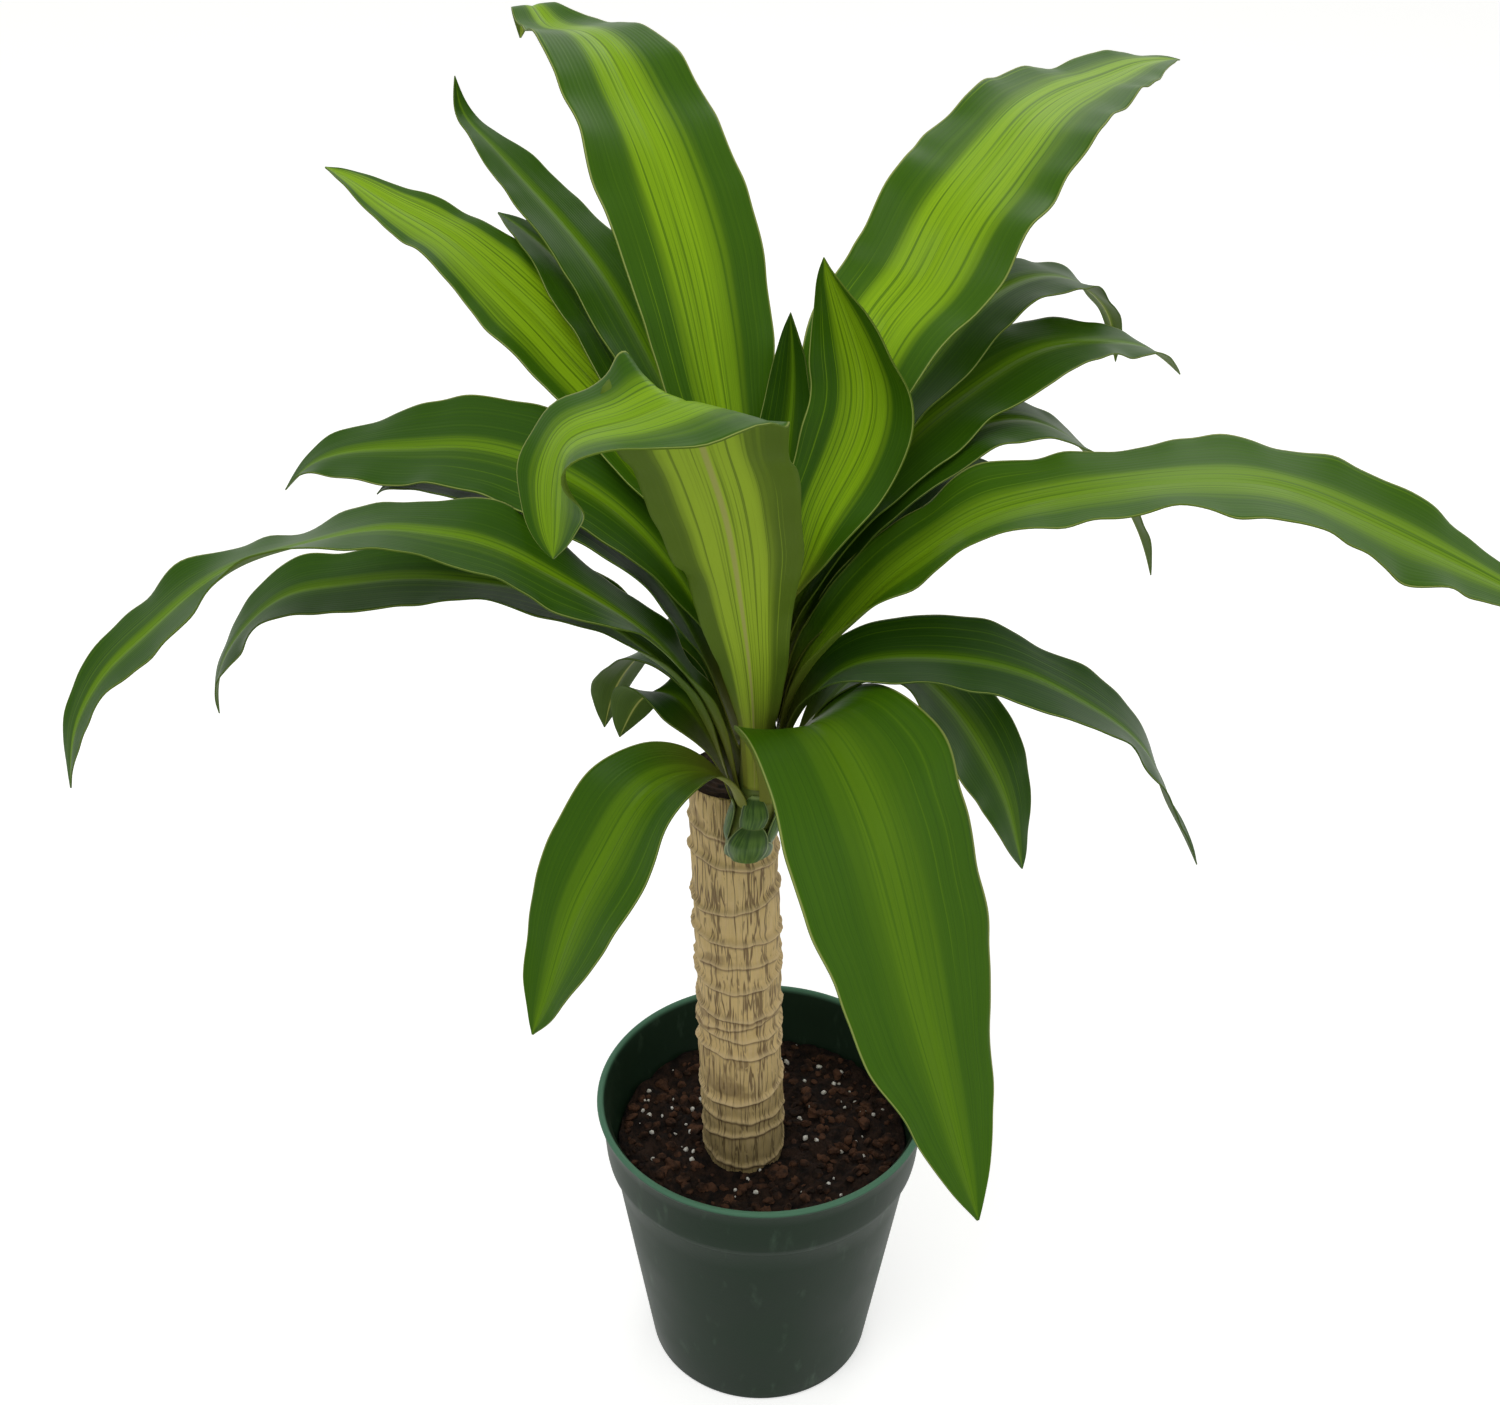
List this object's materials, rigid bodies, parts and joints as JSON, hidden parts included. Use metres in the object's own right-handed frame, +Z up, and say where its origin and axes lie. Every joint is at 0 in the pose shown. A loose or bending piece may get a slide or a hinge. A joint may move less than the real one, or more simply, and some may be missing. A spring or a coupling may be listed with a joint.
{
  "type": "potted plant",
  "caption": "Corn plant (Dracaena) on a bare cane in a green plastic nursery pot, with arching striped leaves.",
  "frame": {"origin": "centre of the pot's flat base face, on the surface it stands on", "axes": "+Z up along the pot's axis; the plant's front faces -Y, with its longest leaf towards +X"},
  "size_m": [0.5642, 0.3798, 0.6047],
  "materials": {
    "pot": "satin moulded green plastic",
    "mix": "rough dark potting mix with bark and perlite",
    "bark": "rough tan bark",
    "cut": "dry dark cut face",
    "shoot": "smooth green stem",
    "scale": "smooth green bud scales",
    "leaf": "glossy striped leaf"
  },
  "bodies": {
    "root": {"nursery_pot": "pot", "potting_mix": "mix", "cane": "bark", "cane_cut_top": "cut", "shoot": "shoot", "bud_upper_scale": "scale", "bud_right_scale": "scale", "bud_left_scale": "scale", "bud_collar_scale": "scale", "bud_shield_scale": "scale", "leaf_front_right": "leaf", "leaf_front_left": "leaf", "leaf_front_folded": "leaf", "leaf_left_lower": "leaf", "leaf_left_long": "leaf", "leaf_low_back": "leaf", "leaf_low_back_left": "leaf", "leaf_left_middle": "leaf", "leaf_left_upper": "leaf", "leaf_light_left": "leaf", "leaf_narrow_left": "leaf", "leaf_short_left": "leaf", "leaf_tall_left": "leaf", "leaf_right_low": "leaf", "leaf_right_drooping": "leaf", "leaf_right_long": "leaf", "leaf_right_dark": "leaf", "leaf_back_right_lower": "leaf", "leaf_back_right_middle": "leaf", "leaf_back_right_upper": "leaf", "leaf_tall_right": "leaf", "leaf_inner_back": "leaf", "leaf_inner_right": "leaf"}
  },
  "joints": []
}
